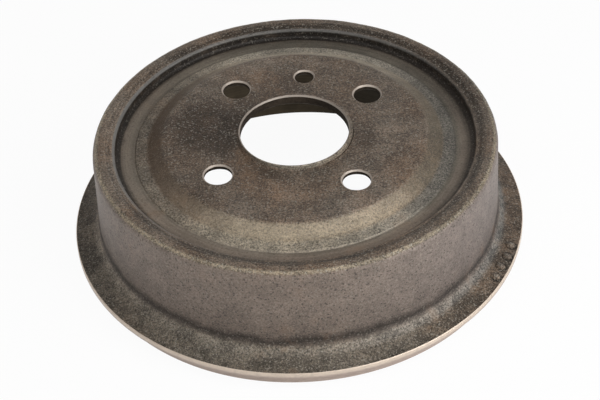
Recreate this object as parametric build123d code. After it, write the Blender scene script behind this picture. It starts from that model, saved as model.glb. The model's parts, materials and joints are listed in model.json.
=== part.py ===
"""Car rear brake drum: one grey iron casting, turned and drilled where it has to fit.

It stands on its open end. The origin is the centre of the open end's face, and +Z runs
along the drum's axis to the web, which carries the wheel. Sizes are in millimetres.
"""

import math
import os

from build123d import *

# Friction track, and the thickness of iron that surrounds it
friction_diameter = 200.0
mouth_chamfer = 1.0
inner_corner_bevel = 3.0  # where the track meets the hub side of the web
wall_at_rim = 6.0
wall_at_foot = 7.6

# Web: flat hub face, slope, and the channel inside the rim
face_height = 66.4  # hub face above the open end
face_diameter = 138.0
face_round = 6.0
web_thickness = 4.0
channel_depth = 6.6  # channel floor below the hub face
channel_width = 10.2
channel_corner_bevel = 1.2

# Rim round the web: a raised outer crest and a lower inner band
rim_width = 11.8
rim_drop = 0.3  # crest below the hub face
crest_width = 6.7
band_step = 0.5  # inner band below the crest
band_fall = 1.2  # the band drops this much more towards the channel
band_edge_bevel = 0.8
rim_shoulder_round = 4.0

# Flange and lip at the open end
flange_reach = 20.9  # flange edge outside the friction track
flange_underside = 9.6  # height above the open end
flange_edge = 3.1  # height of the turned edge
flange_rise = 3.3  # the cast top climbs this much from the edge to the wall
flange_root_round = 7.0
flange_edge_break = 0.4
lip_reach = 15.5  # lip outside the friction track
lip_chamfer = 0.8

# Centre bore, with the cast collar that stands round it on the hub face
bore_diameter = 57.0
bore_chamfer = 1.0
collar_diameter = 60.4
collar_height = 2.6
collar_shift = 0.6  # the cast collar lies this far off the turned bore, along +X

# Holes in the hub face
stud_circle = 100.0
stud_count = 4
stud_hole = 14.5
screw_radius = 49.0  # the locating screw's hole, midway between two stud holes
screw_hole = 10.3
hole_chamfer = 1.0
back_chamfer = 1.4  # on the hub side of every hole and of the bore

cut_margin = 1.0  # how far a cutter stands out of the faces that it cuts


def casting_section():
    """Half section of the drum as (radius, height, corner round), round the iron."""
    friction_r = friction_diameter / 2
    rim_outer_r = friction_r + wall_at_rim
    rim_inner_r = rim_outer_r - rim_width
    crest_inner_r = rim_outer_r - crest_width
    channel_inner_r = rim_inner_r - channel_width
    face_r = face_diameter / 2
    flange_r = friction_r + flange_reach
    lip_r = friction_r + lip_reach

    channel_z = face_height - channel_depth
    crest_z = face_height - rim_drop
    band_z = crest_z - band_step
    band_foot_z = band_z - band_fall
    flange_top_z = flange_underside + flange_edge
    channel_under_z = channel_z - web_thickness

    # The hub side of the web runs parallel to its outside.
    slope_angle = math.atan2(channel_depth, channel_inner_r - face_r)
    inset = web_thickness * math.tan(slope_angle / 2)

    outside = [
        (0, face_height, 0),
        (face_r, face_height, face_round),
        (channel_inner_r, channel_z, 0),
        (rim_inner_r - channel_corner_bevel, channel_z, 0),
        (rim_inner_r, channel_z + channel_corner_bevel, 0),
        (rim_inner_r, band_foot_z - band_edge_bevel, 0),
        (rim_inner_r + band_edge_bevel, band_foot_z, 0),
        (crest_inner_r - band_step, band_z, 0),
        (crest_inner_r, crest_z, 0),
        (rim_outer_r, crest_z, rim_shoulder_round),
        (friction_r + wall_at_foot, flange_top_z + flange_rise, flange_root_round),
        (flange_r - flange_edge_break, flange_top_z, 0),
        (flange_r, flange_top_z - flange_edge_break, 0),
        (flange_r, flange_underside, 0),
        (lip_r, flange_underside, 0),
        (lip_r, lip_chamfer, 0),
        (lip_r - lip_chamfer, 0, 0),
    ]
    inside = [
        (friction_r + mouth_chamfer, 0, 0),
        (friction_r, mouth_chamfer, 0),
        (friction_r, channel_under_z - inner_corner_bevel, 0),
        (friction_r - inner_corner_bevel, channel_under_z, 0),
        (channel_inner_r - inset, channel_under_z, 0),
        (face_r - inset, face_height - web_thickness, 0),
        (0, face_height - web_thickness, 0),
    ]
    return outside + inside


def raw_casting():
    """The drum's body, turned about its axis, before it is bored and drilled."""
    corners = casting_section()
    points = [(radius, height) for radius, height, _ in corners]
    rounds = [corner_round for _, _, corner_round in corners]
    with BuildPart() as body:
        with BuildSketch(Plane.XZ):
            with BuildLine():
                FilletPolyline(*points, radius=rounds, close=True)
            make_face()
        revolve(axis=Axis.Z)
    return body.part


def collar():
    """The low cast ring on the hub face, from the middle of the web upwards."""
    foot = face_height - web_thickness / 2
    height = face_height + collar_height - foot
    disc = Cylinder(collar_diameter / 2, height, align=(Align.CENTER, Align.CENTER, Align.MIN))
    return Pos(collar_shift, 0, foot) * disc


def hole_cutter(diameter, top, outer_chamfer):
    """A through hole in the web with both ends chamfered at 45 degrees."""
    radius = diameter / 2
    bottom = face_height - web_thickness
    outer_flare = outer_chamfer + cut_margin
    back_flare = back_chamfer + cut_margin
    with BuildPart() as cutter:
        with BuildSketch(Plane.XZ):
            with BuildLine():
                Polyline(
                    (0, bottom - cut_margin),
                    (radius + back_flare, bottom - cut_margin),
                    (radius, bottom + back_chamfer),
                    (radius, top - outer_chamfer),
                    (radius + outer_flare, top + cut_margin),
                    (0, top + cut_margin),
                    close=True,
                )
            make_face()
        revolve(axis=Axis.Z)
    return cutter.part


def brake_drum():
    """The finished drum: casting and collar, bored, with stud holes and the screw's hole."""
    drum = raw_casting() + collar()
    drum -= hole_cutter(bore_diameter, face_height + collar_height, bore_chamfer)

    stud_cutter = hole_cutter(stud_hole, face_height, hole_chamfer)
    first_stud = 90 - 180 / stud_count  # degrees; the screw's hole lies at 90
    for place in PolarLocations(stud_circle / 2, stud_count, start_angle=first_stud):
        drum -= place * stud_cutter

    screw_cutter = hole_cutter(screw_hole, face_height, hole_chamfer)
    drum -= Pos(0, screw_radius, 0) * screw_cutter
    return drum


os.makedirs("parts", exist_ok=True)
export_step(brake_drum(), "parts/brake_drum.step")
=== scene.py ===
"""Looks of a car's rear brake drum: its cast skin, its turned edges, and a plain studio.

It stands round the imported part, in metres and in the part's own frame: the origin is the
centre of the open end's face, and +Z runs along the drum's axis to the web.
"""

import json
import math

import bmesh
import bpy
from bpy.props import FloatProperty, FloatVectorProperty, IntProperty, PointerProperty
from bpy.types import Operator, Panel, PropertyGroup
from mathutils import Matrix, Vector


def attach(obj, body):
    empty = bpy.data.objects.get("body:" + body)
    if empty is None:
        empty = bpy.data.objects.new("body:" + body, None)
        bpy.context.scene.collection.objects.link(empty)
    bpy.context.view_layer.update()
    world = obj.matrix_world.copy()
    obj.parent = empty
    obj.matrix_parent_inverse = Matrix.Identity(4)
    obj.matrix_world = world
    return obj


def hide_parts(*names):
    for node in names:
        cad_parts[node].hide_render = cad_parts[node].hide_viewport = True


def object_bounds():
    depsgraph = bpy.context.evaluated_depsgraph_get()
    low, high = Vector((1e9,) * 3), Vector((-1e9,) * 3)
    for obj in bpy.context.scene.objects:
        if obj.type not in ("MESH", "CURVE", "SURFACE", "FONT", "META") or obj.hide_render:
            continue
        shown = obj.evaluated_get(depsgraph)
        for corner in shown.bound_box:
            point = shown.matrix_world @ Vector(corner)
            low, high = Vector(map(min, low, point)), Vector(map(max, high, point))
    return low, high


bl_info = {
    "name": "Brake Drum",
    "version": (1, 0, 0),
    "blender": (4, 5, 0),
    "location": "View3D > Sidebar > Brake Drum",
    "description": "Builds a cast iron brake drum and the studio it stands in",
    "category": "Object",
}

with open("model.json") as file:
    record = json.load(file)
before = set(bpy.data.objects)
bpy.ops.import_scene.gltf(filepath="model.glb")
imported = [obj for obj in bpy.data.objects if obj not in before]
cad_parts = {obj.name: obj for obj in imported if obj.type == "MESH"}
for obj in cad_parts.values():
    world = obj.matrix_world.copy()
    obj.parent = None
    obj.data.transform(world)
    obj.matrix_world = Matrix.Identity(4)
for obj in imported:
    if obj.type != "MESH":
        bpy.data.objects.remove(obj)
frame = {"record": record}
cad_box = [list(corner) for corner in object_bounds()]
mounts = {mount["name"]: mount for mount in frame["record"]["mounts"]}

MM = 0.001
SLACK = MM / 10  # allowed when places are compared
CRISP = math.radians(32)  # edges that turn more than this stay crisp
BODY = "root"
NODE = "brake_drum"

TRACK_R = mounts["shoe_track"]["dims"]["r_mm"] * MM
BORE_R = mounts["centre_bore"]["dims"]["r_mm"] * MM
STUD_CIRCLE_R = mounts["stud_holes"]["dims"]["pcd_mm"] / 2 * MM
STUD_HOLE_R = mounts["stud_holes"]["dims"]["hole_r_mm"] * MM
STUD_COUNT = mounts["stud_holes"]["dims"]["count"]
SCREW_HOLE_R = mounts["locating_screw_hole"]["dims"]["r_mm"] * MM
SCREW_R = mounts["locating_screw_hole"]["pos_m"][1]
FACE_Z = mounts["wheel_face"]["pos_m"][2]
WEB = FACE_Z - mounts["hub_seat"]["pos_m"][2]
FLANGE_R = cad_box[1][0]
COLLAR_Z = cad_box[1][2]

# Dull and light areas of the web as (x, y and reach in mm, tone)
STAINS = (
    (-48, 0, 26, 0.42),
    (-30, 22, 13, 0.7),
    (-10, 44, 9, 0.78),
    (-42, 64, 26, 1.38),
    (-14, -48, 7, 1.25),
    (-42, -44, 13, 0.72),
    (37, -2, 9, 0.76),
    (2, -45, 13, 1.5),
    (31, -32, 12, 1.2),
    (49, 3, 10, 1.2),
    (-20, -62, 12, 1.15),
    (54, -54, 20, 1.35),
    (80, 50, 34, 0.72),
)

# Foundry pips on the flange as (mm from the axis, degrees round from +X)
PIPS = (
    (116.4, -11.1),
    (116.7, -15.4),
    (116.0, -19.6),
    (116.5, -23.5),
)

# Lamps as (name, degrees round from +X, degrees up, metres away, metres wide, watts)
LAMPS = (
    ("softbox_right", 330, 45, 0.8, 0.5, 2.6),
    ("softbox_left", 240, 60, 0.9, 0.6, 1.8),
    ("softbox_back", 90, 25, 1.2, 0.8, 0.8),
    ("softbox_low", 330, 20, 0.8, 0.5, 1.7),
)

# Finishes of the drum, in the order of its material slots
SKIN, TURNED, TRACK, INNER = range(4)

# Node of the cast skin that paints shadow round the pips, and the height of the flange there
PIP_PAINTED_SHADOW = "pip_dirt"
PIP_PAINTED_SHADOW_Z = 14 * MM


def length(name, description, millimetres):
    return FloatProperty(
        name=name, description=description, default=millimetres * MM, unit="LENGTH", precision=5
    )


def colour(name, description, *shade):
    return FloatVectorProperty(
        name=name, description=description, default=shade, size=3, subtype="COLOR", min=0, max=1
    )


def angle(name, description, degrees):
    return FloatProperty(
        name=name, description=description, default=math.radians(degrees), subtype="ANGLE"
    )


def share(name, description, value):
    return FloatProperty(
        name=name, description=description, default=value, subtype="FACTOR", min=0, max=1
    )


class DrumSizes(PropertyGroup):
    """Sizes of the casting and of what is turned and drilled in it."""

    core_r: length("Core radius", "Radius of the cored hole before it is bored", 24)
    collar_r: length("Collar radius", "Cast collar round the bore", 30.2)
    collar_shift: length("Collar shift", "How far the collar lies off the bore, along X", 0.6)
    face_r: length("Face radius", "Flat hub face", 69)
    face_round: length("Face round", "Round between the hub face and the slope", 6)
    terrace_width: length("Terrace width", "Nearly flat foot of the slope", 6.6)
    terrace_step: length("Terrace step", "Terrace above the channel floor", 0.6)
    terrace_fall: length("Terrace fall", "Drop of the terrace towards the channel", 0.9)
    channel_depth: length("Channel depth", "Channel floor below the hub face", 6.6)
    channel_width: length("Channel width", "Channel between slope and rim", 10.2)
    channel_round: length("Channel corner", "Hollow at the foot of the rim", 1.4)
    rim_width: length("Rim width", "Rim round the web", 11.8)
    rim_drop: length("Rim drop", "Crest of the rim below the hub face", 0.3)
    crest_width: length("Crest width", "Raised outer part of the rim", 6.7)
    band_step: length("Band step", "Inner part of the rim below its crest", 0.5)
    band_fall: length("Band fall", "Further drop of the inner part to the channel", 1.2)
    band_round: length("Band round", "Inner edge of the rim", 1)
    shoulder_round: length("Shoulder round", "Outer edge of the rim", 4)
    wall_at_rim: length("Wall at rim", "Thickness of the wall under the rim", 6)
    wall_at_foot: length("Wall at foot", "Thickness of the wall above the flange", 7.6)
    flange_underside: length("Flange underside", "Its height above the open end", 9.6)
    flange_edge: length("Flange edge", "Height of the turned edge", 3.1)
    flange_rise: length("Flange rise", "Climb of the flange from edge to wall", 3.3)
    flange_root: length("Flange root", "Hollow between flange and wall", 7)
    edge_break: length("Edge break", "Bevel along the turned edge", 0.4)
    lip_reach: length("Lip reach", "Lip outside the track", 15.5)
    lip_chamfer: length("Lip chamfer", "Outer edge of the open end", 0.8)
    mouth_chamfer: length("Mouth chamfer", "Inner edge of the open end", 1)
    inner_corner: length("Inner corner", "Round at the end of the track", 3)
    bore_chamfer: length("Bore chamfer", "Outer edge of the bore", 1)
    hole_chamfer: length("Hole chamfer", "Outer edge of the smaller holes", 1)
    back_chamfer: length("Back chamfer", "Hub side of every hole", 1.4)
    pip_long: length("Pip length", "Half length of an oval pip on the flange", 2.8)
    pip_wide: length("Pip width", "Half width of a pip", 2)
    pip_high: length("Pip height", "Half height of a pip", 1.7)
    pip_sink: length("Pip sink", "Middle of a pip below the flange's nominal top", 0.5)
    skin_pitch: length("Skin pitch", "Distance between rings of the cast skin", 1.5)
    around: IntProperty(name="Around", description="Divisions round the drum", default=480)


class DrumSkin(PropertyGroup):
    """Shape of the cast skin, and the colours of every finish, painted sheen and shade among
    them.
    """

    sag: length("Sag", "Depth of the skin's broad unevenness", 0.35)
    sag_size: length("Sag size", "Size of the broad unevenness", 14)
    peel: length("Peel", "Depth of the skin's orange peel", 0.22)
    peel_size: length("Peel size", "Size of the orange peel", 2.6)
    sand_iron: colour("Sand iron", "Beige grey of the slope", 0.17, 0.142, 0.101)
    warm_iron: colour("Warm iron", "Grey-brown skin of the web", 0.165, 0.13, 0.1)
    brown_iron: colour("Brown iron", "Browner parts of the web", 0.16, 0.112, 0.078)
    # Painted sheen: bluish grey where the flange's hollow and the terrace catch the lamps on the
    # right
    cool_sheen: colour("Cool iron", "Bluish grey of worn hollows", 0.142, 0.137, 0.127)
    # Painted sheen: the right of the outer wall tinted where it reflects the pale floor
    lilac_sheen: colour("Lilac iron", "Right side of the outer wall", 0.183, 0.152, 0.138)
    green_iron: colour("Green iron", "Greenish grey of foot and flange", 0.15, 0.132, 0.104)
    wall_iron: colour("Wall iron", "Skin of the outer wall", 0.187, 0.149, 0.123)
    channel_iron: colour("Channel iron", "Smoother skin of the channel", 0.16, 0.132, 0.106)
    # Painted glints: bright specks, partly sand grains and partly painted highlight
    glint: colour("Glint", "Bright grains of sand and iron", 0.34, 0.31, 0.26)
    # Rubbed inner edge of the rim, with a painted highlight on its far and left sides
    rubbed_edge_highlight: colour("Worn edge", "Inner edge of the rim, rubbed bright", 0.2, 0.195, 0.185)
    rust: colour("Rust", "Stains of light rust", 0.2, 0.11, 0.055)
    # Darker colour laid in the skin's small pits
    pit_dark: colour("Soot", "Dark dirt in the hollows", 0.03, 0.024, 0.02)
    turned: colour("Turned iron", "Edges, lip and chamfers", 0.66, 0.55, 0.45)
    # Painted shade: the lower part of the turned edge, darkened as if shaded
    turned_low_shade: colour("Turned low edge", "Lower part of the turned edge", 0.3, 0.23, 0.21)
    chamfer: colour("Chamfer iron", "Chamfers of the bore and the holes", 0.36, 0.31, 0.265)
    # Painted shade: track and inside far darker than the iron is, as the drum's inside stands in
    # shade
    track: colour("Track iron", "Friction track and hub seat", 0.062, 0.048, 0.031)
    inside: colour("Inside iron", "Hub side of the web", 0.05, 0.038, 0.028)


class StageSetup(PropertyGroup):
    """Camera, lamps and floor."""

    aim_x: length("Aim X", "Point on the hub face that the camera looks at", 8.42)
    aim_y: length("Aim Y", "Point on the hub face that the camera looks at", -52.7)
    distance: length("Distance", "From that point to the camera", 819.93)
    azimuth: angle("Azimuth", "Turn of the camera round the drum's axis", 8.02)
    elevation: angle("Elevation", "Camera above the hub face", 41.32)
    roll: angle("Roll", "Turn of the camera about its own axis", -3.09)
    lens: FloatProperty(name="Lens", description="Focal length in mm", default=98.81)
    sensor: FloatProperty(name="Sensor", description="Sensor width in mm", default=36)
    lamp_level: FloatProperty(name="Lamp level", description="Scales every lamp", default=1.3)
    ambient: FloatProperty(name="Ambient", description="Level of the dim room", default=0.13)
    backdrop_top: angle("Backdrop top", "Height at which the white backdrop has faded", 20)
    floor_share: share("Floor share", "How much of the floor shows as plain white", 0.95)
    floor_shade: colour("Floor", "Colour of the floor", 0.8, 0.8, 0.8)


# ---------------------------------------------------------------- shapes


def section_corners(s):
    """The casting's half section as (radius, height, corner round), round the iron."""
    rim_outer = TRACK_R + s.wall_at_rim
    rim_inner = rim_outer - s.rim_width
    crest_inner = rim_outer - s.crest_width
    channel_inner = rim_inner - s.channel_width
    lip_r = TRACK_R + s.lip_reach
    channel_z = FACE_Z - s.channel_depth
    crest_z = FACE_Z - s.rim_drop
    band_z = crest_z - s.band_step
    terrace_z = channel_z + s.terrace_step
    flange_z = s.flange_underside + s.flange_edge
    under_z = channel_z - WEB
    slope = math.atan2(s.channel_depth, channel_inner - s.face_r)
    inset = WEB * math.tan(slope / 2)
    collar_round = 0.3 * MM
    return [
        (s.core_r, COLLAR_Z, 0),
        (s.collar_r, COLLAR_Z, collar_round * 2),
        (s.collar_r, FACE_Z, collar_round),
        (s.face_r, FACE_Z, s.face_round),
        (channel_inner - s.terrace_width, terrace_z + s.terrace_fall, s.terrace_width),
        (channel_inner - s.terrace_step / 2, terrace_z, s.terrace_step / 2),
        (channel_inner + s.terrace_step / 2, channel_z, s.terrace_step / 2),
        (rim_inner, channel_z, s.channel_round),
        (rim_inner, band_z - s.band_fall, s.band_round),
        (crest_inner - s.band_step * 2, band_z, s.band_step),
        (crest_inner, crest_z, s.band_step),
        (rim_outer, crest_z, s.shoulder_round),
        (TRACK_R + s.wall_at_foot, flange_z + s.flange_rise, s.flange_root),
        (FLANGE_R - s.edge_break, flange_z, 0),
        (FLANGE_R, flange_z - s.edge_break, 0),
        (FLANGE_R, s.flange_underside, 0),
        (lip_r, s.flange_underside, 0),
        (lip_r, s.lip_chamfer, 0),
        (lip_r - s.lip_chamfer, 0, 0),
        (TRACK_R + s.mouth_chamfer, 0, 0),
        (TRACK_R, s.mouth_chamfer, 0),
        (TRACK_R, under_z, s.inner_corner),
        (channel_inner - inset, under_z, s.inner_corner),
        (s.face_r - inset, FACE_Z - WEB, s.inner_corner),
        (s.core_r, FACE_Z - WEB, 0),
    ]


def draw_wire(bm, corners, closed):
    """A wire through (radius, height, ...) corners, in the XZ plane."""
    points = [bm.verts.new((corner[0], 0, corner[1])) for corner in corners]
    ends = points[1:] + points[:1] if closed else points[1:]
    for here, there in zip(points, ends):
        bm.edges.new((here, there))
    return points


def round_corner(bm, point, radius, pitch):
    """Rounds one corner of a wire to an arc."""
    arms = [(edge.other_vert(point).co - point.co) for edge in point.link_edges]
    between = arms[0].angle(arms[1])
    turn = math.pi - between
    bmesh.ops.bevel(
        bm,
        geom=[point],
        offset=radius / math.tan(between / 2),
        offset_type="OFFSET",
        affect="VERTICES",
        segments=max(3, math.ceil(radius * turn / pitch)),
        profile=0.5,
        material=-1,
    )


def divide_runs(bm, pitch, wanted):
    """Divides the wire's long runs so that no ring is wider than the pitch."""
    for run in [edge for edge in bm.edges if wanted(edge)]:
        cuts = math.ceil(run.calc_length() / pitch) - 1
        if cuts > 0:
            bmesh.ops.subdivide_edges(bm, edges=[run], cuts=cuts)


def spin_round(bm, steps):
    """Turns what is drawn about the drum's axis into a closed surface."""
    bmesh.ops.spin(
        bm,
        geom=bm.verts[:] + bm.edges[:],
        cent=(0, 0, 0),
        axis=(0, 0, 1),
        dvec=(0, 0, 0),
        angle=math.tau,
        steps=steps,
        use_merge=True,
        use_duplicate=False,
    )
    bmesh.ops.remove_doubles(bm, verts=bm.verts[:], dist=MM / 1000)
    bmesh.ops.recalc_face_normals(bm, faces=bm.faces[:])


def new_piece(bm, name):
    """Makes an object of a bmesh, shaded smooth except at its crisp edges."""
    mesh = bpy.data.meshes.new(name)
    bm.to_mesh(mesh)
    bm.free()
    mesh.polygons.foreach_set("use_smooth", [True] * len(mesh.polygons))
    mesh.set_sharp_from_angle(angle=CRISP)
    piece = bpy.data.objects.new(name, mesh)
    bpy.context.scene.collection.objects.link(piece)
    return piece


def settle(piece):
    """Turns a piece's modifiers into its own mesh."""
    view = bpy.context.evaluated_depsgraph_get()
    finished = bpy.data.meshes.new_from_object(piece.evaluated_get(view), depsgraph=view)
    piece.modifiers.clear()
    old = piece.data
    piece.data = finished
    bpy.data.meshes.remove(old)
    finished.name = piece.name


def drill(bm, radius, top, chamfer, back_chamfer, place):
    """A closed cutter for one hole, flared at both ends, standing at a place."""
    bottom = FACE_Z - WEB
    margin = MM
    flare = chamfer + margin
    back_flare = back_chamfer + margin
    cutter = bmesh.new()
    corners = [
        (0, bottom - margin),
        (radius + back_flare, bottom - margin),
        (radius, bottom + back_chamfer),
        (radius, top - chamfer),
        (radius + flare, top + margin),
        (0, top + margin),
    ]
    draw_wire(cutter, corners, closed=False)
    spin_round(cutter, steps=96)
    cutter.normal_update()
    bmesh.ops.translate(cutter, verts=cutter.verts[:], vec=place)
    part = bpy.data.meshes.new("cutter")
    cutter.to_mesh(part)
    cutter.free()
    bm.from_mesh(part)
    bpy.data.meshes.remove(part)


def hole_cutters(s):
    """One object that cuts the bore, the stud holes and the screw's hole."""
    bm = bmesh.new()
    drill(bm, BORE_R, COLLAR_Z, s.bore_chamfer, s.back_chamfer, Vector())
    first = math.pi / STUD_COUNT
    for number in range(STUD_COUNT):
        around = first + number * math.tau / STUD_COUNT
        place = Vector((math.cos(around), math.sin(around), 0)) * STUD_CIRCLE_R
        drill(bm, STUD_HOLE_R, FACE_Z, s.hole_chamfer, s.back_chamfer, place)
    drill(bm, SCREW_HOLE_R, FACE_Z, s.hole_chamfer, s.back_chamfer, Vector((0, SCREW_R, 0)))
    for face in bm.faces:
        # The upper flare of a cutter looks down, and cuts the outer chamfer.
        looks_down = face.normal.z < -0.3
        face.material_index = TURNED if looks_down else INNER
    return new_piece(bm, "drill_cutters")


def is_cast(s, co, normal):
    """Whether a spot of the raw casting shows its cast skin from outside."""
    radius = math.hypot(co.x, co.y)
    if radius > TRACK_R + s.wall_at_rim / 2:
        on_edge = radius > FLANGE_R - s.edge_break * 1.5
        return co.z > s.flange_underside + s.edge_break and not on_edge
    faces_up = normal.z > 0.02
    upright = normal.z > -0.2
    above_channel = co.z > FACE_Z - s.channel_depth - SLACK
    return faces_up or above_channel and upright


def finish_of(s, face):
    """The finish that a face of the raw casting gets."""
    centre = face.calc_center_median()
    if is_cast(s, centre, face.normal):
        return SKIN
    if math.hypot(centre.x, centre.y) > TRACK_R + s.mouth_chamfer * 1.5:
        return TURNED
    on_track = centre.z < FACE_Z - s.channel_depth - WEB - s.inner_corner
    on_seat = centre.z > FACE_Z - WEB - SLACK
    return TRACK if on_track or on_seat else INNER


def roughen(piece, skin, group):
    """Gives the cast skin its real unevenness, inwards from the nominal size."""
    for name, depth, size in (
        ("sag", skin.sag, skin.sag_size),
        ("peel", skin.peel, skin.peel_size),
    ):
        pattern = bpy.data.textures.new("casting_" + name, "CLOUDS")
        pattern.noise_scale = size
        pattern.noise_depth = 2
        bumps = piece.modifiers.new(name, "DISPLACE")
        bumps.texture = pattern
        bumps.texture_coords = "LOCAL"
        bumps.strength = depth
        bumps.mid_level = 0.9  # only the lightest spots of the pattern stay where they were
        bumps.vertex_group = group


def raise_pip(bm, s, radius, around):
    """One low oval pip on the flange's cast top."""
    reach = FLANGE_R - TRACK_R - s.wall_at_foot
    top = s.flange_underside + s.flange_edge + s.flange_rise * (FLANGE_R - radius) / reach
    made = bmesh.ops.create_uvsphere(bm, u_segments=20, v_segments=12, radius=s.pip_long)
    pip = made["verts"]
    bmesh.ops.scale(bm, verts=pip, vec=(1, s.pip_wide / s.pip_long, s.pip_high / s.pip_long))
    bmesh.ops.translate(bm, verts=pip, vec=(radius, 0, top - s.pip_sink))
    turn = Matrix.Rotation(around, 3, "Z")
    bmesh.ops.rotate(bm, verts=pip, cent=(0, 0, 0), matrix=turn)


# ---------------------------------------------------------------- finishes


def darker(shade, amount):
    """A colour scaled by an amount below 1."""
    return tuple(part * amount for part in shade)


class Nodes:
    """Adds nodes to an emptied node tree and joins them."""

    def __init__(self, tree):
        self.tree = tree
        tree.nodes.clear()

    def put(self, kind, sockets=None, **settings):
        """A new node. A socket that is given another node's output is joined to it."""
        made = self.tree.nodes.new(kind)
        for name, value in settings.items():
            setattr(made, name, value)
        for key, value in (sockets or {}).items():
            if isinstance(value, bpy.types.NodeSocket):
                self.tree.links.new(value, made.inputs[key])
            else:
                made.inputs[key].default_value = value
        return made

    def reckon(self, operation, first, second, clamp=False):
        """The result of one Math operation on two values."""
        sockets = {0: first, 1: second}
        made = self.put("ShaderNodeMath", sockets, operation=operation, use_clamp=clamp)
        return made.outputs[0]


class Shades(Nodes):
    """Makes the nodes of one finish."""

    def __init__(self, name):
        self.material = bpy.data.materials.new(name)
        self.material.use_nodes = True
        super().__init__(self.material.node_tree)
        self.shader = self.put("ShaderNodeBsdfPrincipled")
        self.put("ShaderNodeOutputMaterial", {0: self.shader.outputs[0]})
        self.place = self.put("ShaderNodeTexCoord").outputs["Object"]
        parts = self.put("ShaderNodeSeparateXYZ", {0: self.place})
        self.flat_x = parts.outputs["X"]
        self.flat_y = parts.outputs["Y"]
        self.height = parts.outputs["Z"]
        sockets = {0: self.place, 1: (1, 1, 0)}
        flat = self.put("ShaderNodeVectorMath", sockets, operation="MULTIPLY")
        reach = self.put("ShaderNodeVectorMath", {0: flat.outputs[0]}, operation="LENGTH")
        self.radius = reach.outputs["Value"]

    def noise(self, size, detail, roughness, where=None):
        """Soft noise whose blobs are about size metres wide."""
        sockets = {"Scale": 1 / size, "Detail": detail, "Roughness": roughness}
        sockets["Vector"] = where or self.place
        return self.put("ShaderNodeTexNoise", sockets).outputs[0]

    def wander(self, size, reach, detail):
        """A length between minus and plus half of reach that changes over size metres."""
        centred = self.plus(self.noise(size, detail, roughness=0.6), -0.5)
        return self.times(centred, reach)

    def cells(self, size):
        """Distance to scattered points about size metres apart, from 0 at each."""
        sockets = {"Scale": 1 / size, "Vector": self.place}
        return self.put("ShaderNodeTexVoronoi", sockets).outputs["Distance"]

    def away_from(self, spot):
        """Distance to one spot, in metres."""
        sockets = {0: self.place, 1: spot}
        return self.put("ShaderNodeVectorMath", sockets, operation="DISTANCE").outputs["Value"]

    def tool_path(self, drift=0.0):
        """A vector nearly the same all round the axis, for lines left by turning."""
        around = self.times(self.flat_x, drift)
        sockets = {0: self.radius, 1: self.height, 2: around}
        return self.put("ShaderNodeCombineXYZ", sockets).outputs[0]

    def times(self, first, second):
        return self.reckon("MULTIPLY", first, second)

    def plus(self, first, second):
        return self.reckon("ADD", first, second)

    def flip(self, value):
        """0 where the value is 1, and 1 where it is 0."""
        return self.reckon("SUBTRACT", 1.0, value)

    def mixed(self, first, second, part=0.5):
        """Two values added up, with this part of the second."""
        return self.plus(self.times(first, 1 - part), self.times(second, part))

    def lerp(self, amount, under, over):
        """A value that goes from under to over as amount goes from 0 to 1."""
        # A Mix node has its numbers on sockets 2 and 3, and its colours on 6 and 7.
        return self.put("ShaderNodeMix", {0: amount, 2: under, 3: over}).outputs[0]

    def ramp(self, value, low, high, bottom=0.0, top=1.0):
        """A smooth step from bottom to top as value goes from low to high."""
        sockets = {0: value, 1: low, 2: high, 3: bottom, 4: top}
        made = self.put("ShaderNodeMapRange", sockets, interpolation_type="SMOOTHSTEP")
        return made.outputs[0]

    def band(self, value, low, high, soft):
        """1 between low and high, fading to 0 over soft on each side."""
        rise = self.ramp(value, low - soft, low)
        fall = self.ramp(value, high, high + soft, bottom=1.0, top=0.0)
        return self.times(rise, fall)

    def profile(self, value, stops):
        """A tone that follows (place, tone) stops along a value given in metres."""
        brightest = 2.0  # tones are divided by this to stay under 1 in the colour ramp
        low = stops[0][0]
        reach = stops[-1][0] - low
        span = self.put("ShaderNodeMapRange", {0: value, 1: low, 2: low + reach}).outputs[0]
        made = self.put("ShaderNodeValToRGB", {0: span})
        steps = made.color_ramp.elements
        for place, _ in stops[1:-1]:
            steps.new((place - low) / reach)
        for step, (_, tone) in zip(steps, stops):
            grey = tone / brightest
            step.color = (grey, grey, grey, 1)
        return self.times(made.outputs[0], brightest)

    def sides(self, right, far, left, near):
        """A tone that changes smoothly round the axis between its values at four sides."""
        total = 0.0
        for along, sign, tone in (
            (self.flat_x, 1, right),
            (self.flat_y, 1, far),
            (self.flat_x, -1, left),
            (self.flat_y, -1, near),
        ):
            lean = self.reckon("DIVIDE", along, self.radius)
            lean = self.reckon("MULTIPLY", lean, sign, clamp=True)
            total = self.plus(total, self.times(self.times(lean, lean), tone))
        return total

    def tint(self, shade_of, amount):
        """A colour made lighter or darker by an amount."""
        sockets = {0: shade_of, "Scale": amount}
        return self.put("ShaderNodeVectorMath", sockets, operation="SCALE").outputs[0]

    def blend(self, amount, under, over):
        """Mixes the colour over into the colour under by amount."""
        sockets = {0: amount}
        for key, value in ((6, under), (7, over)):
            made = isinstance(value, bpy.types.NodeSocket)
            sockets[key] = value if made else (*value, 1)
        return self.put("ShaderNodeMix", sockets, data_type="RGBA").outputs[2]

    def layers(self, base, coats):
        """Lays (amount, colour) coats over a base colour, one after the other."""
        for amount, shade in coats:
            base = self.blend(amount, base, shade)
        return base

    def bump(self, height, depth):
        """Relief of the given depth in metres; returns the normal."""
        return self.put("ShaderNodeBump", {"Distance": depth, "Height": height}).outputs[0]

    def finish(self, colour, roughness, normal, metallic, gloss=0.5):
        """Joins the made values to the shader; metallic and gloss are the same all over."""
        self.tree.links.new(colour, self.shader.inputs["Base Color"])
        self.tree.links.new(roughness, self.shader.inputs["Roughness"])
        self.tree.links.new(normal, self.shader.inputs["Normal"])
        self.shader.inputs["Metallic"].default_value = metallic
        self.shader.inputs["Specular IOR Level"].default_value = gloss
        return self.material


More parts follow.
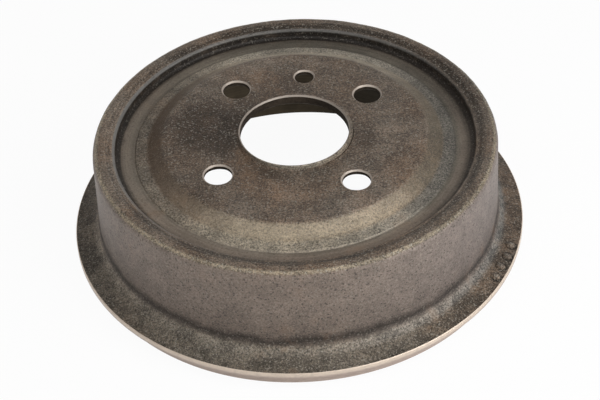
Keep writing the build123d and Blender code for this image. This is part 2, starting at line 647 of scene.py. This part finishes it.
class CastSkin(Shades):
    """Sand-cast iron: sandy grain, dull patches, a smooth channel, and painted light and shade.
    """

    def __init__(self, sizes, skin):
        super().__init__("cast_skin")
        self.skin = skin
        self.face_r = sizes.face_r
        self.rim = TRACK_R + sizes.wall_at_rim
        self.crest_in = self.rim - sizes.crest_width
        self.channel_out = self.rim - sizes.rim_width
        self.channel_in = self.channel_out - sizes.channel_width
        self.terrace_in = self.channel_in - sizes.terrace_width
        self.foot_z = sizes.flange_underside + sizes.flange_edge

        self.grain = self.noise(1.1 * MM, detail=3, roughness=0.6)
        self.fine = self.noise(0.6 * MM, detail=2, roughness=0.6)
        self.patch = self.noise(9 * MM, detail=3, roughness=0.6)
        self.broad = self.noise(34 * MM, detail=2, roughness=0.5)
        self.sand = self.ramp(self.mixed(self.grain, self.fine), 0.34, 0.66)
        self.pits = self.ramp(self.cells(2.1 * MM), 0.14, 0.3, bottom=1.0, top=0.0)
        self.mark_zones()
        self.stained = self.stains()

    def ring(self, low, high, soft):
        """1 on the web between two radii, fading to 0 over soft on each side."""
        return self.times(self.on_top, self.band(self.radius, low, high, soft))

    def mark_zones(self):
        """Marks the drum's zones, each 1 on the zone and fading to 0 beside it."""
        low = self.foot_z + 4 * MM
        high = self.foot_z + 8 * MM
        self.on_wall = self.ramp(self.radius, self.rim - 1.3 * MM, self.rim - 0.6 * MM)
        self.on_flange = self.ramp(self.height, low, high, bottom=1.0, top=0.0)
        self.on_top = self.flip(self.on_wall)
        self.wall = self.times(self.on_wall, self.flip(self.on_flange))
        self.collar = self.ramp(self.height, FACE_Z + 0.2 * MM, FACE_Z + 0.6 * MM)
        self.slope = self.ring(self.face_r + 2 * MM, self.terrace_in - MM, 2.5 * MM)
        self.terrace = self.ring(self.terrace_in + MM, self.channel_in - 0.5 * MM, 1.5 * MM)
        self.floor = self.ring(self.channel_in + MM, self.channel_out - 3 * MM, 2 * MM)
        self.inner = self.ring(self.channel_out - 2 * MM, self.channel_out + 0.5 * MM, MM)
        self.brim = self.ring(self.channel_out + 1.5 * MM, self.crest_in, MM)
        crest = self.ramp(self.radius, self.crest_in, self.crest_in + MM)
        self.crest = self.times(self.on_top, crest)
        shoulder = self.ramp(self.radius, self.rim - 3.5 * MM, self.rim - 2.5 * MM)
        self.shoulder = self.times(self.on_top, shoulder)

        # How much of the grain shows: all of it, apart from four smoother zones
        level = self.times(self.lerp(self.floor, 1.0, 0.3), self.lerp(self.wall, 1.0, 0.55))
        steep = self.times(self.lerp(self.inner, 1.0, 0.4), self.lerp(self.slope, 1.0, 0.6))
        self.calm = self.times(level, steep)

    def stains(self):
        """Dull and light areas that the casting has by chance."""
        total = 1.0
        for x, y, reach, tone in STAINS:
            reach *= MM
            ragged = self.times(self.noise(reach * 0.6, detail=2, roughness=0.55), reach)
            away = self.plus(ragged, self.away_from((x * MM, y * MM, FACE_Z)))
            total = self.times(total, self.ramp(away, reach * 0.9, reach * 1.7, bottom=tone))
        return total

    def pip_dirt(self):
        """Painted shadow round the foundry's pips, set a little outside of them as if they cast
        it.
        """
        outward = 1  # in mm, as the pips' places are
        dark = 0.25
        total = 1.0
        for radius, around in PIPS:
            turn = math.radians(around)
            reach = (radius + outward) * MM
            spot = (reach * math.cos(turn), reach * math.sin(turn), PIP_PAINTED_SHADOW_Z)
            near = self.ramp(self.away_from(spot), 2.6 * MM, 3.9 * MM, bottom=dark)
            total = self.times(total, near)
        return total

    def tone(self):
        """Tone of each zone across the web, down the wall and round the axis, mostly painted
        light and shade.
        """
        ragged = self.wander(5 * MM, reach=2.4 * MM, detail=2)
        # Painted light and shade: a lit slope, a shaded foot of the rim, highlights on the band's
        # edge and shoulder
        # Tones from the bore out over the face, slope, terrace, channel, band and crest
        across = self.profile(
            self.plus(self.radius, ragged),
            (
                (BORE_R, 1.15),
                (30 * MM, 0.95),
                (33 * MM, 0.72),
                (42 * MM, 0.88),
                (self.face_r - 3 * MM, 1.0),
                (self.face_r - 0.5 * MM, 0.92),
                (self.face_r + 1.5 * MM, 1.25),
                (self.terrace_in - 3 * MM, 1.4),
                (self.channel_in - 2 * MM, 1.5),
                (self.channel_in, 1.35),
                (self.channel_in + 0.8 * MM, 0.85),
                (self.channel_in + 2 * MM, 1.05),
                (self.channel_out - 4 * MM, 1.0),
                (self.channel_out - 2 * MM, 0.42),
                (self.channel_out, 0.3),
                (self.channel_out + 0.7 * MM, 1.25),
                (self.channel_out + 1.8 * MM, 0.72),
                (self.crest_in - MM, 0.6),
                (self.crest_in + MM, 1.0),
                (self.rim - 3 * MM, 1.05),
                (self.rim - 2 * MM, 1.8),
                (self.rim - MM, 1.2),
            ),
        )
        # Tones up the outer wall, with painted shade darkest just above the flange's root
        upright = self.profile(
            self.plus(self.height, self.wander(16 * MM, reach=8 * MM, detail=3)),
            (
                (self.foot_z, 0.8),
                (self.foot_z + 4 * MM, 1.0),
                (self.foot_z + 6 * MM, 0.5),
                (self.foot_z + 8.5 * MM, 0.28),
                (self.foot_z + 13 * MM, 0.92),
                (FACE_Z - 18 * MM, 1.1),
                (FACE_Z - 5 * MM, 1.12),
            ),
        )
        # Tones up the flange's cast top from edge to root: a painted highlight, then painted
        # shade at the root
        flat = self.profile(
            self.plus(self.height, ragged),
            (
                (self.foot_z - MM, 0.72),
                (self.foot_z + 2 * MM, 0.85),
                (self.foot_z + 5 * MM, 1.35),
                (self.foot_z + 8 * MM, 0.5),
            ),
        )
        tone = self.lerp(self.on_wall, across, self.lerp(self.on_flange, upright, flat))
        # Painted light and shade: each zone lighter or darker at its right, far, left and near
        # side
        for zone, around in (
            (self.collar, (1.5, 1.0, 0.9, 1.9)),
            (self.slope, (0.62, 2.1, 0.34, 1.45)),
            (self.terrace, (0.62, 1.55, 0.75, 1.45)),
            (self.floor, (1.0, 0.8, 1.3, 1.35)),
            (self.inner, (0.8, 0.22, 0.4, 1.0)),
            (self.brim, (0.85, 0.56, 1.4, 0.78)),
            (self.crest, (0.85, 1.0, 1.25, 1.0)),
        ):
            tone = self.times(tone, self.lerp(zone, 1.0, self.sides(*around)))
        return tone

    def sandy(self):
        """Where the skin is beige: the slope, least on its left, and the rim's shoulder."""
        slope = self.times(self.plus(self.slope, self.terrace), self.sides(0.6, 0.4, 0.0, 0.9))
        return self.plus(slope, self.times(self.shoulder, 0.8))

    def greenish(self):
        """Where the skin is greenish: the slope's foot and far side, collar and flange."""
        foot = self.ring(self.terrace_in + 3 * MM, self.channel_in, 4 * MM)
        mossy = self.band(self.radius, self.face_r + 2 * MM, self.channel_out - 5 * MM, 3 * MM)
        total = self.times(foot, self.sides(1.0, 0.2, 0.1, 0.6))
        total = self.plus(total, self.times(mossy, self.sides(0.1, 0.9, 0.4, 0.0)))
        total = self.plus(total, self.times(self.collar, self.sides(0.6, 0.1, 0.1, 1.0)))
        total = self.times(total, self.on_top)
        return self.lerp(self.on_flange, total, self.sides(0.1, 0.5, 0.4, 0.8))

    def cool_sheen_zone(self):
        """Where a bluish sheen is painted: the flange's hollow and the terrace, mostly on the
        right.
        """
        hollow = self.ramp(self.height, self.foot_z + 1.5 * MM, self.foot_z + 3 * MM)
        hollow = self.times(self.on_flange, hollow)
        where = self.plus(hollow, self.times(self.terrace, 0.5))
        return self.times(where, self.sides(0.9, 0.3, 0.0, 0.1))

    def iron(self):
        """Colour of the skin, with its painted bluish and lilac sheen, before it is shaded."""
        skin = self.skin
        plain = self.blend(self.ramp(self.broad, 0.35, 0.65), skin.warm_iron, skin.brown_iron)
        coats = (
            (self.times(self.flip(self.stained), 1.5), skin.brown_iron),
            (self.sandy(), skin.sand_iron),
            (self.times(self.floor, 0.7), skin.channel_iron),
            (self.times(self.wall, 0.9), skin.wall_iron),
            (self.greenish(), skin.green_iron),
            # Painted sheen: bluish where the hollow and terrace catch the lamps
            (self.cool_sheen_zone(), skin.cool_sheen),
            # Painted sheen: lilac on the right of the outer wall, where it reflects the pale
            # floor
            (self.times(self.wall, self.sides(0.9, 0.3, 0.3, 0.0)), skin.lilac_sheen),
        )
        return self.layers(plain, coats)

    def shade(self):
        """How light each spot is: grain, patches, streaks, stains, and painted light and shade.
        """
        speckle = self.lerp(self.calm, 1.0, self.lerp(self.sand, 0.3, 1.6))
        uneven = self.lerp(self.on_flange, self.times(self.calm, 0.2), 0.34)
        mottle = self.ramp(self.patch, 0.34, 0.66)
        mottle = self.lerp(mottle, self.flip(uneven), self.plus(uneven, 1.0))
        path = self.tool_path(drift=0.06)
        streaks = self.ramp(self.noise(1.6 * MM, detail=2, roughness=0.6, where=path), 0.35, 0.65)
        streaks = self.lerp(streaks, 0.65, 1.35)
        grooved = self.plus(self.times(self.floor, 0.4), self.times(self.brim, 0.9))
        total = self.times(self.times(speckle, mottle), self.tone())
        total = self.times(total, self.lerp(grooved, 1.0, streaks))
        pip_painted_light = 1.2  # the pips get no painted shadow, and are painted a little lighter
        # Painted shadow round the pips, on a node that the pips' own copy of the skin turns off
        colouring = self.put("ShaderNodeMix", {0: 1.0, 2: pip_painted_light, 3: self.pip_dirt()})
        colouring.name = PIP_PAINTED_SHADOW
        return self.times(self.times(total, self.stained), colouring.outputs[0])

    def painted_light(self):
        """Where the rim's inner edge is rubbed bright and given a painted highlight, at the far
        and left sides.
        """
        edge = self.ring(self.channel_out, self.channel_out + 1.3 * MM, 0.5 * MM)
        high = self.ramp(self.height, FACE_Z - 3.4 * MM, FACE_Z - 2.4 * MM)
        where = self.times(self.times(edge, high), self.sides(0.0, 0.6, 0.9, 0.0))
        return self.times(where, self.lerp(self.patch, 0.4, 1.3))

    def rusty(self):
        """Light rust in patches, and over the left of the slope."""
        patches = self.times(self.ramp(self.broad, 0.52, 0.7), self.ramp(self.patch, 0.5, 0.72))
        left = self.times(self.slope, self.sides(0.0, 0.0, 0.25, 0.0))
        return self.plus(self.times(patches, 0.3), left)

    def complete(self):
        """The whole finish, as a material."""
        skin = self.skin
        # Painted glints: bright specks, partly sand grains and partly painted highlight, more on
        # the rim's shoulder
        glints = self.ramp(self.noise(0.9 * MM, detail=1, roughness=0.4), 0.59, 0.68)
        sparkle = self.plus(self.times(self.calm, 0.6), self.times(self.shoulder, 0.35))
        coats = (
            (self.times(glints, sparkle), skin.glint),
            (self.painted_light(), skin.rubbed_edge_highlight),
            # Darker colour in the skin's small pits, most on the outer wall
            (self.times(self.pits, self.lerp(self.wall, 0.3, 0.65)), skin.pit_dark),
            (self.rusty(), skin.rust),
        )
        base = self.layers(self.tint(self.iron(), self.shade()), coats)
        rough = self.lerp(self.sand, 0.5, 0.62)
        relief = self.mixed(self.grain, self.fine, part=0.4)
        relief = self.plus(relief, self.times(self.pits, -0.4))
        normal = self.bump(self.times(relief, self.calm), depth=0.5 * MM)
        return self.finish(base, rough, normal, metallic=0.4)


def turned_iron(sizes, skin):
    """Bare turned iron: pale, with fine tool lines round the axis and grey spots."""
    s = Shades("turned_iron")
    spots = s.noise(4 * MM, detail=4, roughness=0.6)
    dust = s.noise(1.2 * MM, detail=2, roughness=0.5)
    lines = s.noise(0.5 * MM, detail=2, roughness=0.5, where=s.tool_path())
    tone = s.ramp(s.mixed(spots, dust, part=0.4), 0.3, 0.6)
    base = s.blend(tone, darker(skin.turned, 0.85), skin.turned)
    edge_foot = sizes.flange_underside
    # Painted shade: the lower part of the turned edge is darkened
    low = s.ramp(s.height, edge_foot, edge_foot + 1.6 * MM, bottom=1.0, top=0.0)
    on_web = s.ramp(s.height, FACE_Z - 9 * MM, FACE_Z - 8 * MM)
    coats = ((s.times(low, 0.6), skin.turned_low_shade), (s.times(on_web, 0.85), skin.chamfer))
    base = s.layers(base, coats)
    on_collar = s.ramp(s.height, FACE_Z + MM, FACE_Z + 1.5 * MM)
    base = s.tint(base, s.lerp(on_collar, 1.0, 0.75))
    rough = s.lerp(lines, 0.4, 0.55)
    return s.finish(base, rough, s.bump(lines, depth=0.03 * MM), metallic=0.3)


def track_iron(skin):
    """Friction track and hub seat: turned iron with tool lines, painted dark as the inside is in
    shade.
    """
    s = Shades("track_iron")
    lines = s.noise(0.6 * MM, detail=2, roughness=0.5, where=s.tool_path())
    cloud = s.noise(9 * MM, detail=3, roughness=0.55)
    tone = s.ramp(s.mixed(lines, cloud), 0.35, 0.65)
    base = s.blend(tone, darker(skin.track, 0.6), skin.track)
    # Painted light: the track is lighter on the left and darker on the right, as light falls into
    # the drum
    painted_light = s.ramp(s.flat_x, -55 * MM, 45 * MM, bottom=1.0, top=0.3)
    base = s.tint(base, painted_light)
    rough = s.lerp(lines, 0.4, 0.5)
    return s.finish(base, rough, s.bump(lines, depth=0.04 * MM), metallic=0.9, gloss=0.2)


def inner_skin(skin):
    """Cast skin on the hub side of the web, plainer than outside and painted dark, as the inside
    is in shade.
    """
    s = Shades("inner_skin")
    grain = s.noise(1.5 * MM, detail=3, roughness=0.6)
    patch = s.noise(8 * MM, detail=3, roughness=0.55)
    tone = s.ramp(s.mixed(grain, patch), 0.35, 0.65)
    base = s.blend(tone, darker(skin.inside, 0.5), skin.inside)
    rough = s.lerp(grain, 0.7, 0.85)
    return s.finish(base, rough, s.bump(grain, depth=0.4 * MM), metallic=0.0, gloss=0.1)


# ---------------------------------------------------------------- operators


class OBJECT_OT_drum_casting(Operator):
    """Spin the drum's section, roughen its cast skin, then bore and drill it"""

    bl_idname = "object.drum_casting"
    bl_label = "Drum Casting"
    bl_options = {"REGISTER", "UNDO"}

    def execute(self, context):
        sizes = context.scene.drum_sizes
        skin = context.scene.drum_skin
        bm = bmesh.new()
        corners = section_corners(sizes)
        points = draw_wire(bm, corners, closed=True)
        for point, corner in zip(points, corners):
            if corner[2] > 0:
                round_corner(bm, point, corner[2], sizes.skin_pitch)
        divide_runs(bm, sizes.skin_pitch, lambda run: self.on_skin(sizes, run))
        spin_round(bm, sizes.around)

        collar_foot = FACE_Z + MM / 100
        raised = [v for v in bm.verts if v.co.z > collar_foot]
        bmesh.ops.translate(bm, verts=raised, vec=(sizes.collar_shift, 0, 0))
        for face in bm.faces:
            face.material_index = finish_of(sizes, face)
        bm.verts.index_update()
        cast = [v.index for v in bm.verts if is_cast(sizes, v.co, v.normal)]

        drum = new_piece(bm, "drum_casting")
        group = drum.vertex_groups.new(name="cast")
        group.add(cast, 1.0, "REPLACE")
        rim_wall = [v.index for v in drum.data.vertices if self.on_rim_wall(sizes, v.co)]
        rim_wall_share = 0.35  # a steep wall shows unevenness more, so it gets less of it
        group.add(rim_wall, rim_wall_share, "REPLACE")
        roughen(drum, skin, "cast")
        settle(drum)

        cutters = hole_cutters(sizes)
        for material in (
            CastSkin(sizes, skin).complete(),
            turned_iron(sizes, skin),
            track_iron(skin),
            inner_skin(skin),
        ):
            drum.data.materials.append(material)
            cutters.data.materials.append(material)
        cut = drum.modifiers.new("holes", "BOOLEAN")
        cut.operation = "DIFFERENCE"
        cut.solver = "EXACT"
        cut.object = cutters
        settle(drum)
        bpy.data.objects.remove(cutters)
        drum.data.set_sharp_from_angle(angle=CRISP)

        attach(drum, BODY)
        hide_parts(NODE)
        return {"FINISHED"}

    @staticmethod
    def on_rim_wall(sizes, co):
        """Whether a spot lies on the upright wall between the channel and the rim."""
        from_wall = TRACK_R + sizes.wall_at_rim - sizes.rim_width - math.hypot(co.x, co.y)
        return abs(from_wall) < sizes.channel_round and co.z > FACE_Z - sizes.channel_depth

    @staticmethod
    def on_skin(sizes, run):
        """Whether a run of the section lies on the outside, above the turned edge."""
        middle = (run.verts[0].co + run.verts[1].co) / 2
        outside = middle.x > TRACK_R + sizes.wall_at_rim / 2 and middle.z > sizes.flange_underside
        top = middle.z > FACE_Z - sizes.channel_depth - SLACK and middle.x > sizes.core_r
        under = abs(middle.z - (FACE_Z - WEB)) < SLACK
        return (outside or top) and not under


class OBJECT_OT_foundry_pips(Operator):
    """Raise the foundry's plain pips on the flange"""

    bl_idname = "object.foundry_pips"
    bl_label = "Foundry Pips"
    bl_options = {"REGISTER", "UNDO"}

    def execute(self, context):
        sizes = context.scene.drum_sizes
        bm = bmesh.new()
        for radius, around in PIPS:
            raise_pip(bm, sizes, radius * MM, math.radians(around))
        pips = new_piece(bm, "foundry_pips")
        unshadowed = bpy.data.materials["cast_skin"].copy()
        unshadowed.name = "pip_skin"
        # The pips' copy of the skin has no painted shadow round the pips
        unshadowed.node_tree.nodes[PIP_PAINTED_SHADOW].inputs[0].default_value = 0.0
        pips.data.materials.append(unshadowed)
        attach(pips, BODY)
        return {"FINISHED"}


class SCENE_OT_drum_stage(Operator):
    """Set the floor, the lamps and the camera"""

    bl_idname = "scene.drum_stage"
    bl_label = "Drum Stage"
    bl_options = {"REGISTER", "UNDO"}

    def execute(self, context):
        setup = context.scene.drum_stage
        self.lay_floor(setup)
        self.hang_lamps(setup)
        self.light_world(context, setup)
        self.place_camera(context, setup)
        return {"FINISHED"}

    @staticmethod
    def lay_floor(setup):
        """A pale floor that takes the drum's shadow, and shows as nearly white."""
        bm = bmesh.new()
        bmesh.ops.create_circle(bm, cap_ends=True, segments=96, radius=6)
        floor = new_piece(bm, "floor")
        material = bpy.data.materials.new("studio_floor")
        material.use_nodes = True
        nodes = Nodes(material.node_tree)
        matt = nodes.put("ShaderNodeBsdfDiffuse", {"Color": (*setup.floor_shade, 1)})
        white = nodes.put("ShaderNodeEmission")
        rays = nodes.put("ShaderNodeLightPath").outputs
        seen = nodes.reckon("MAXIMUM", rays["Is Camera Ray"], rays["Is Glossy Ray"])
        seen = nodes.reckon("MAXIMUM", seen, rays["Is Transmission Ray"])
        amount = nodes.reckon("MULTIPLY", seen, setup.floor_share)
        layers = {0: amount, 1: matt.outputs[0], 2: white.outputs[0]}
        mix = nodes.put("ShaderNodeMixShader", layers)
        nodes.put("ShaderNodeOutputMaterial", {0: mix.outputs[0]})
        floor.data.materials.append(material)

    @staticmethod
    def hang_lamps(setup):
        """Soft lamps round the drum, all turned to its middle."""
        for name, around, above, away, size, power in LAMPS:
            lamp = bpy.data.lights.new(name, "AREA")
            lamp.size = size
            lamp.energy = power * setup.lamp_level
            holder = bpy.data.objects.new(name, lamp)
            turn = Matrix.Rotation(math.radians(around), 4, "Z")
            lift = Matrix.Rotation(-math.radians(above), 4, "Y")
            place = turn @ lift @ Vector((away, 0, 0))
            middle = Vector((0, 0, FACE_Z * 0.75))
            holder.location = middle + place
            holder.rotation_euler = (-place).to_track_quat("-Z", "Y").to_euler()
            bpy.context.scene.collection.objects.link(holder)

    @staticmethod
    def light_world(context, setup):
        """White backdrop all round that fades into a dim room towards its top."""
        world = bpy.data.worlds.new("studio")
        context.scene.world = world
        world.use_nodes = True
        nodes = Nodes(world.node_tree)
        direction = nodes.put("ShaderNodeTexCoord").outputs["Generated"]
        parts = nodes.put("ShaderNodeSeparateXYZ", {0: direction})
        fade_foot = math.sin(setup.backdrop_top / 3)
        fade_top = math.sin(setup.backdrop_top)
        sockets = {0: parts.outputs["Z"], 1: fade_foot, 2: fade_top, 3: 1.0, 4: setup.ambient}
        level = nodes.put("ShaderNodeMapRange", sockets).outputs[0]
        sockets = {"Color": (1, 1, 1, 1), "Strength": level}
        white = nodes.put("ShaderNodeBackground", sockets)
        nodes.put("ShaderNodeOutputWorld", {0: white.outputs[0]})

    @staticmethod
    def place_camera(context, setup):
        """A camera that looks at a point on the hub face, from a set angle and distance."""
        camera = bpy.data.cameras.new("camera")
        camera.lens = setup.lens
        camera.sensor_width = setup.sensor
        camera.sensor_fit = "HORIZONTAL"
        holder = bpy.data.objects.new("camera", camera)
        turn = Matrix.Rotation(setup.azimuth, 4, "Z")
        tilt = Matrix.Rotation(math.pi / 2 - setup.elevation, 4, "X")
        lean = Matrix.Rotation(setup.roll, 4, "Z")
        back = Matrix.Translation((0, 0, setup.distance))
        aim = Matrix.Translation((setup.aim_x, setup.aim_y, FACE_Z))
        holder.matrix_world = aim @ turn @ tilt @ back @ lean
        context.scene.collection.objects.link(holder)
        context.scene.camera = holder


class VIEW3D_PT_brake_drum(Panel):
    """Lists the drum's operators and what they read"""

    bl_label = "Brake Drum"
    bl_idname = "VIEW3D_PT_brake_drum"
    bl_space_type = "VIEW_3D"
    bl_region_type = "UI"
    bl_category = "Brake Drum"

    def draw(self, context):
        for name in BUILD_ORDER:
            self.layout.operator(name)
        for group_name in GROUPS:
            group = getattr(context.scene, group_name)
            box = self.layout.box()
            for name in group.__annotations__:
                box.prop(group, name)


BUILD_ORDER = ("object.drum_casting", "object.foundry_pips", "scene.drum_stage")
GROUPS = {"drum_sizes": DrumSizes, "drum_skin": DrumSkin, "drum_stage": StageSetup}
CLASSES = (
    *GROUPS.values(),
    OBJECT_OT_drum_casting,
    OBJECT_OT_foundry_pips,
    SCENE_OT_drum_stage,
    VIEW3D_PT_brake_drum,
)


def register():
    for made in CLASSES:
        bpy.utils.register_class(made)
    for name, group in GROUPS.items():
        setattr(bpy.types.Scene, name, PointerProperty(type=group))


def unregister():
    for name in GROUPS:
        delattr(bpy.types.Scene, name)
    for made in reversed(CLASSES):
        bpy.utils.unregister_class(made)


def main():
    register()
    bpy.context.scene.view_settings.view_transform = "Standard"
    bpy.ops.object.drum_casting()
    bpy.ops.object.foundry_pips()
    bpy.ops.scene.drum_stage()


if __name__ == "__main__":
    main()
